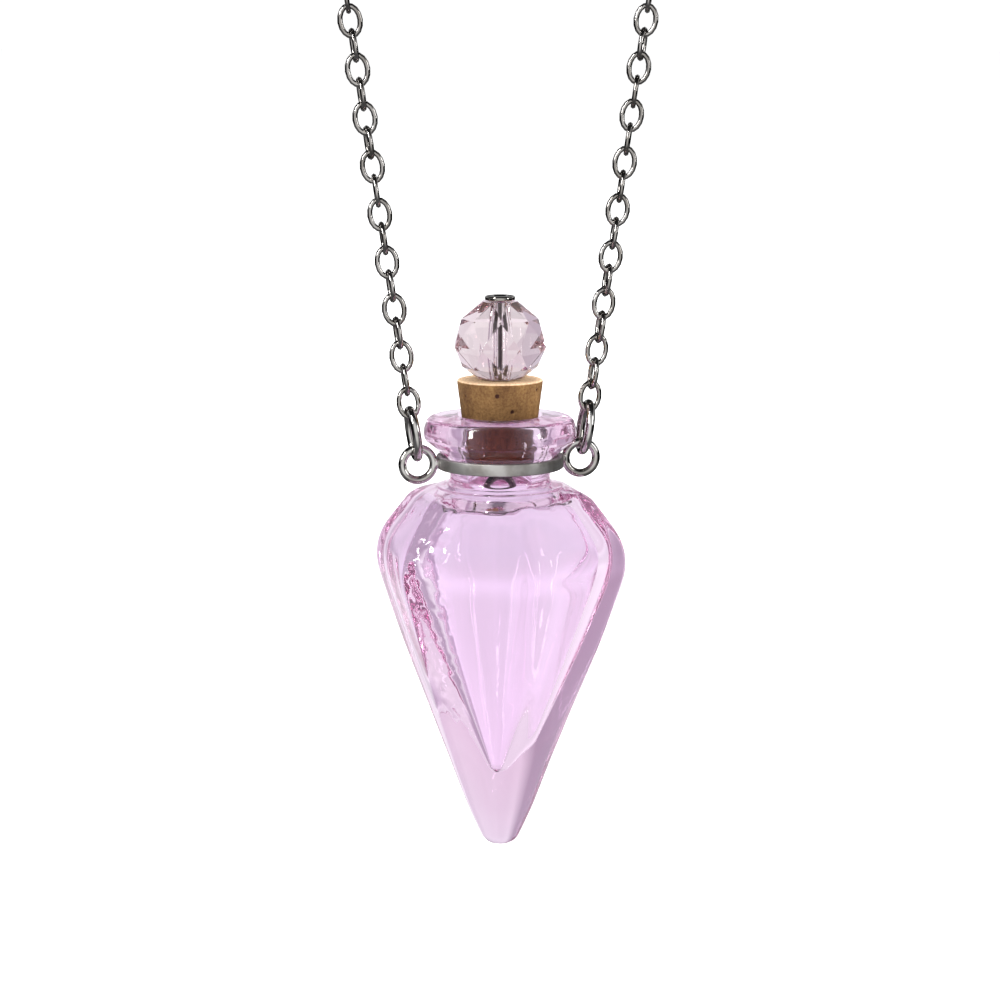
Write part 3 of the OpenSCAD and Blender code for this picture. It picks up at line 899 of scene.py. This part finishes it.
class PENDANT_OT_pin(bpy.types.Operator):
    """Makes the head pin: its dished head, its shaft and the eye turned under the cork"""

    bl_idname = "pendant.pin"
    bl_label = "Head Pin"

    def execute(self, context):
        s = context.scene.pendant_stopper
        cork_base = LIP_TOP - s.cork_in + TIP_Z
        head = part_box("head_pin")[1].z - s.head_t
        eye_z = cork_base - s.gap - s.pin_r - s.eye_r
        r, t = s.head_r, s.head_t
        # The head's top is dished within half its radius
        line = soft_line([
            (s.pin_r, eye_z + s.eye_r, 0), (s.pin_r, head, 0.05 * MM), (r, head, 0.1 * MM),
            (r, head + t, 0.17 * MM), (r * 0.5, head + t, 0.12 * MM), (r * 0.36, head + t * 0.7, 0.1 * MM),
            (0.02 * MM, head + t * 0.7, 0)], 0.9 * MM)
        shaft = turned("pin_steel", line, 48)
        outward(shaft)
        eye = ring_of_wire("eye", s.eye_r, s.pin_r, (0, 0, eye_z), 64, 24)
        piece = unite(shaft, [eye])
        # The pin's steel below its head is painted dark, as painted shade
        finish_piece(piece, polished_steel("pin_steel_painted_shade", 0.1, painted_shade_below=head), "stopper",
                     "steel_findings", "head_pin", angle=40)
        return {"FINISHED"}


class PENDANT_OT_collar(bpy.types.Operator):
    """Bends the collar's flat band and solders a loop to each side of it"""

    bl_idname = "pendant.collar"
    bl_label = "Neck Collar"

    def execute(self, context):
        m = context.scene.pendant_metal
        loop_x, loop_z = loop_place(m)
        low, high = loop_z - m.band_h / 2, loop_z + m.band_h / 2
        out_r = m.band_r + m.band_t
        soft = 0.1 * MM
        line = soft_line([
            (m.band_r, loop_z, 0), (m.band_r, low, soft), (out_r, low, soft), (out_r, high, soft),
            (m.band_r, high, soft), (m.band_r, loop_z, 0)], 0.6 * MM, 4)
        band = turned("collar_steel", line, 128, closed=False)
        outward(band)
        parts = []
        for side in (-1, 1):
            place = (side * loop_x, 0, loop_z)
            parts.append(ring_of_wire("loop", m.loop_r, m.loop_wire_r + m.ring_full, place, 64, 20))
            # A lump of solder fills the way from the band to the loop
            reach = loop_x - m.loop_r - out_r
            bpy.ops.mesh.primitive_uv_sphere_add(segments=24, ring_count=16, radius=1.0)
            lump = bpy.context.object
            lump.location = (side * (out_r + reach * 0.45), 0, loop_z)
            lump.scale = (reach * 0.75 + 0.18 * MM, 0.4 * MM, 0.5 * MM)
            parts.append(settle("solder"))
        piece = unite(band, parts)
        finish_piece(piece, polished_steel("brushed_collar_steel", 0.04, brushed_within=out_r + 0.1 * MM),
                     "collar", "steel_findings", "neck_collar", angle=40)
        return {"FINISHED"}


class PENDANT_OT_rings(bpy.types.Operator):
    """Closes the two oval connecting rings through the collar's loops"""

    bl_idname = "pendant.rings"
    bl_label = "Connecting Rings"

    def execute(self, context):
        m = context.scene.pendant_metal
        steel = findings_steel()
        oval = oval_of_wire("oval", m.ring_len, m.ring_w, m.ring_wire_r + m.ring_full, 48, 20)
        for side, name in ((1, "right"), (-1, "left")):
            piece = bpy.data.objects.new("ring_steel_" + name, oval.data.copy())
            context.scene.collection.objects.link(piece)
            piece.data.transform(on_way(m, side, way_lengths(m)[0]) @ Matrix.Rotation(math.pi / 2, 4, "Z"))
            finish_piece(piece, steel, "chain", "steel_findings", "oval_ring_" + name)
        bpy.data.objects.remove(oval)
        return {"FINISHED"}


class PENDANT_OT_chain(bpy.types.Operator):
    """Links both halves of the cable chain, each link turned a quarter from the last and a little twisted"""

    bl_idname = "pendant.chain"
    bl_label = "Cable Chain"

    def execute(self, context):
        m = context.scene.pendant_metal
        draw = random.Random(11)
        # The chain's steel is painted darker, as painted shade
        steel = polished_steel("drawn_steel_wire_painted_shade", 0.04, wire=True)
        link = oval_of_wire("link", m.link_len, m.link_w + m.link_broad, m.link_wire_r + m.link_full, 16, 6)
        # In degrees: a strand is turned a little and sways to and fro, which starts over its first few links,
        # and each link hangs askew
        aside, sway, askew = -15, 10, 5
        sway_length, first_links = 11 * MM, 8
        _, first, pitch, _ = way_lengths(m)
        for side, name in ((1, "right"), (-1, "left")):
            strand = bmesh.new()
            for i in range(m.link_count):
                s = first + i * pitch
                turn = math.radians(sway * math.sin(s / sway_length + side) + aside)
                twist = turn * min(1.0, i / first_links) + math.radians(draw.uniform(-askew, askew))
                copy = link.data.copy()
                copy.transform(on_way(m, side, s) @ Matrix.Rotation(math.pi / 2 * (i % 2) + twist, 4, "Z"))
                strand.from_mesh(copy)
                bpy.data.meshes.remove(copy)
            piece = bpy.data.objects.new("chain_steel_" + name, bpy.data.meshes.new("chain_steel_" + name))
            context.scene.collection.objects.link(piece)
            strand.to_mesh(piece.data)
            strand.free()
            finish_piece(piece, steel, "chain", "steel_chain", "chain_" + name)
        bpy.data.objects.remove(link)
        return {"FINISHED"}


class PENDANT_OT_clasp(bpy.types.Operator):
    """Turns the clasp's barrel and fixes an eye to each end"""

    bl_idname = "pendant.clasp"
    bl_label = "Barrel Clasp"

    def execute(self, context):
        m = context.scene.pendant_metal
        half = m.barrel_len / 2
        r = m.barrel_r
        groove = 0.08 * MM
        line = soft_line([
            (0.05 * MM, -half, 0), (r - 0.5 * MM, -half, 0.1 * MM), (r, 0.5 * MM - half, 0.3 * MM),
            (r, -groove * 2, 0.04 * MM), (r - groove, -groove, 0.04 * MM), (r - groove, groove, 0.04 * MM),
            (r, groove * 2, 0.04 * MM), (r, half - 0.5 * MM, 0.3 * MM), (r - 0.5 * MM, half, 0.1 * MM),
            (0.05 * MM, half, 0)], 1.0 * MM)
        barrel = turned("clasp_steel", line, 64)
        barrel.data.transform(Matrix.Translation((0, 0, m.barrel_r)) @ Matrix.Rotation(math.pi / 2, 4, "Y"))
        outward(barrel)
        eyes = []
        for side in (-1, 1):
            eye = ring_of_wire("eye", m.clasp_eye_r, m.clasp_wire_r, (0, 0, 0), 40, 16)
            eye.data.transform(on_way(m, side, way_lengths(m)[3] + m.clasp_eye_r))
            eyes.append(eye)
        piece = unite(barrel, eyes)
        finish_piece(piece, findings_steel(), "chain", "steel_findings", "clasp", angle=40)
        return {"FINISHED"}


# The stage

# Each soft light: its place from where the lights are turned to, its width, height and watts, and whether the
# metal and the glass mirror it
LIGHTS = {
    "key": ((-0.95, -0.5, 0.6), 0.13, 0.7, 8, True),
    "fill": ((0.9, -0.8, 0.25), 0.12, 0.5, 2, True),
    "top": ((0.0, 0.15, 1.3), 1.2, 1.2, 22, False),
    "side": ((1.1, -0.1, 0.3), 0.8, 0.8, 14, False),
}


def studio(turn):
    """The surroundings: plain white to the camera, pale to the glass, and dark with bright cards to the
    metal. They are turned with the camera."""
    world = bpy.data.worlds.new("studio")
    world.use_nodes = True
    tree = world.node_tree
    tree.nodes.clear()
    rays = node(tree, "LightPath").outputs
    sphere = node(tree, "TexCoord").outputs["Generated"]
    turned_way = node(tree, "Mapping", {"Vector": sphere, "Rotation": (0, 0, -turn)}, vector_type="POINT")
    way = node(tree, "SeparateXYZ", {"Vector": turned_way.outputs["Vector"]})
    bearing = node(tree, "Math", {0: way.outputs["X"], 1: way.outputs["Y"]}, operation="ARCTAN2")
    height = node(tree, "MapRange", {"Value": way.outputs["Z"], "From Min": -1.0, "From Max": 1.0})
    # What metal mirrors: from straight behind (0) to the softbox on the camera's side (1), and by height
    front = node(tree, "MapRange", {"Value": way.outputs["Y"], "From Min": 1.0, "From Max": -1.0})
    cards = node(tree, "ValToRGB", {"Fac": front.outputs[0]}, [
        (0.0, linear("#08080A")), (0.66, linear("#08080A")), (0.74, linear("#3A3A3C")),
        (0.8, linear("#1C1C1E")), (0.9, linear("#C4C4C6")), (0.96, linear("#FFFFFF"))])
    back_wall = node(tree, "ValToRGB", {"Fac": height.outputs[0]}, [
        (0.0, linear("#606062")), (0.3, linear("#707072")), (0.37, grey(0)), (0.53, grey(0)),
        (0.58, linear("#A8A8AA")), (0.7, linear("#B8B8BA")), (0.76, linear("#202022"))])
    mirrored = node(tree, "Mix", {"Factor": 1.0, MIX_A: cards.outputs["Color"],
                                  MIX_B: back_wall.outputs["Color"]}, data_type="RGBA", blend_type="LIGHTEN")
    # What the glass sees: by height, and from the front (0) round by the left, the back (0.5) and the right
    by_height = node(tree, "ValToRGB", {"Fac": height.outputs[0]}, [
        (0.0, linear("#E0DCE4")), (0.2, (1.05, 1.03, 1.07, 1)), (0.3, (1.16, 1.12, 1.2, 1)),
        (0.345, (1.0, 0.96, 1.02, 1)), (0.37, (0.95, 0.92, 0.97, 1)), (0.42, (0.92, 0.9, 0.96, 1)),
        (0.5, (1.05, 1.02, 1.08, 1)), (0.55, linear("#F4EAF4")), (0.66, linear("#FAF4FC")),
        (0.78, linear("#F0ECF4")), (0.9, linear("#DCD8E0")), (1.0, linear("#F0F0F2"))])
    round_it = node(tree, "MapRange", {"Value": bearing.outputs[0], "From Min": -math.pi,
                                       "From Max": math.pi})
    by_side = node(tree, "ValToRGB", {"Fac": round_it.outputs[0]}, [
        (0.0, linear("#98969C")), (0.07, linear("#98969C")), (0.14, grey(1)), (0.29, grey(1)),
        (0.335, linear("#BEB2C0")), (0.405, linear("#BEB2C0")), (0.445, grey(1)), (0.86, grey(1)),
        (0.93, linear("#98969C"))])
    through = node(tree, "Mix", {"Factor": 1.0, MIX_A: by_height.outputs["Color"],
                                 MIX_B: by_side.outputs["Color"]}, data_type="RGBA", blend_type="MULTIPLY")
    # Metal is never perfectly smooth, as the glass is: only what it mirrors sees the cards
    metal = node(tree, "Math", {0: rays["Is Glossy Ray"], 1: rays["Is Singular Ray"]}, operation="SUBTRACT",
                 use_clamp=True)
    clear = node(tree, "Mix", {"Factor": rays["Is Singular Ray"], MIX_A: grey(1.05),
                               MIX_B: through.outputs[MIXED]}, data_type="RGBA")
    shown = node(tree, "Mix", {"Factor": metal.outputs[0], MIX_A: clear.outputs[MIXED],
                               MIX_B: mirrored.outputs[MIXED]}, data_type="RGBA")
    sky = node(tree, "Background", {"Color": shown.outputs[MIXED], "Strength": 1.0})
    node(tree, "OutputWorld", {"Surface": sky.outputs["Background"]})
    return world


class PENDANT_OT_stage(bpy.types.Operator):
    """Lays the pale floor, hangs the soft lights and places the camera"""

    bl_idname = "pendant.stage"
    bl_label = "Stage"

    def execute(self, context):
        scene, stage = context.scene, context.scene.pendant_stage
        start()
        bpy.ops.mesh.primitive_circle_add(vertices=96, radius=6.0, fill_type="NGON",
                                          location=(0, 0, TIP_Z - stage.floor_drop))
        floor = settle("floor")
        material, tree = new_material("matt_white_card")
        card = node(tree, "BsdfPrincipled", {"Base Color": scene.pendant_colours.floor, "Roughness": 0.9,
                                             "Specular IOR Level": 0.1})
        node(tree, "OutputMaterial", {"Surface": card.outputs["BSDF"]})
        floor.data.materials.append(material)
        # The glass and the metal see the surroundings in the floor's place
        floor.visible_glossy = floor.visible_transmission = False
        scene.world = studio(stage.azimuth)

        middle = Vector((0, 0, TIP_Z + stage.light_h))
        for name, (place, wide, high, watts, in_mirrors) in LIGHTS.items():
            light = bpy.data.lights.new(name, "AREA")
            light.shape, light.size, light.size_y, light.energy = "RECTANGLE", wide, high, watts
            lamp = bpy.data.objects.new(name, light)
            scene.collection.objects.link(lamp)
            lamp.location = middle + Vector(place)
            lamp.rotation_euler = (middle - lamp.location).to_track_quat("-Z", "Y").to_euler()
            lamp.visible_camera = False
            lamp.visible_glossy = lamp.visible_transmission = in_mirrors

        level = math.cos(stage.elevation)
        back = Vector((math.sin(stage.azimuth) * level, -math.cos(stage.azimuth) * level,
                       math.sin(stage.elevation)))
        lens = bpy.data.cameras.new("camera")
        lens.sensor_width = 36
        lens.lens = stage.focal_length
        lens.clip_start = 0.02
        lens.clip_end = 50
        camera = bpy.data.objects.new("camera", lens)
        scene.collection.objects.link(camera)
        camera.location = Vector((0, 0, TIP_Z + stage.aim_h)) + back * stage.distance
        camera.rotation_euler = (-back).to_track_quat("-Z", "Y").to_euler()
        scene.camera = camera
        # Light crosses many walls of glass on its way through the bottle and the bead
        for bounces in ("max_bounces", "transmission_bounces", "glossy_bounces"):
            setattr(scene.cycles, bounces, 24)
        scene.view_settings.view_transform = "Standard"
        return {"FINISHED"}


STEPS = (PENDANT_OT_bottle, PENDANT_OT_cork, PENDANT_OT_bead, PENDANT_OT_pin, PENDANT_OT_collar,
         PENDANT_OT_rings, PENDANT_OT_chain, PENDANT_OT_clasp, PENDANT_OT_stage)


class PENDANT_PT_panel(bpy.types.Panel):
    """Lists the sizes, the colours and the steps in the sidebar"""

    bl_idname = "PENDANT_PT_panel"
    bl_label = "Bottle Pendant"
    bl_space_type = "VIEW_3D"
    bl_region_type = "UI"
    bl_category = "Pendant"

    def draw(self, context):
        for step in STEPS:
            self.layout.operator(step.bl_idname)
        for name in GROUPS:
            group = getattr(context.scene, name)
            column = self.layout.column()
            for key in group.__annotations__:
                column.prop(group, key)


GROUPS = {"pendant_bottle": PENDANT_PG_bottle, "pendant_stopper": PENDANT_PG_stopper,
          "pendant_metal": PENDANT_PG_metal, "pendant_stage": PENDANT_PG_stage,
          "pendant_colours": PENDANT_PG_colours}


def register():
    for group in GROUPS.values():
        bpy.utils.register_class(group)
    for step in STEPS:
        bpy.utils.register_class(step)
    bpy.utils.register_class(PENDANT_PT_panel)
    for name, group in GROUPS.items():
        setattr(bpy.types.Scene, name, PointerProperty(type=group))


def unregister():
    for name in GROUPS:
        delattr(bpy.types.Scene, name)
    bpy.utils.unregister_class(PENDANT_PT_panel)
    for cls in (*reversed(STEPS), *GROUPS.values()):
        bpy.utils.unregister_class(cls)


def main():
    """Makes every piece and the stage."""
    register()
    bpy.ops.pendant.bottle()
    bpy.ops.pendant.cork()
    bpy.ops.pendant.bead()
    bpy.ops.pendant.pin()
    bpy.ops.pendant.collar()
    bpy.ops.pendant.rings()
    bpy.ops.pendant.chain()
    bpy.ops.pendant.clasp()
    bpy.ops.pendant.stage()


if __name__ == "__main__":
    main()
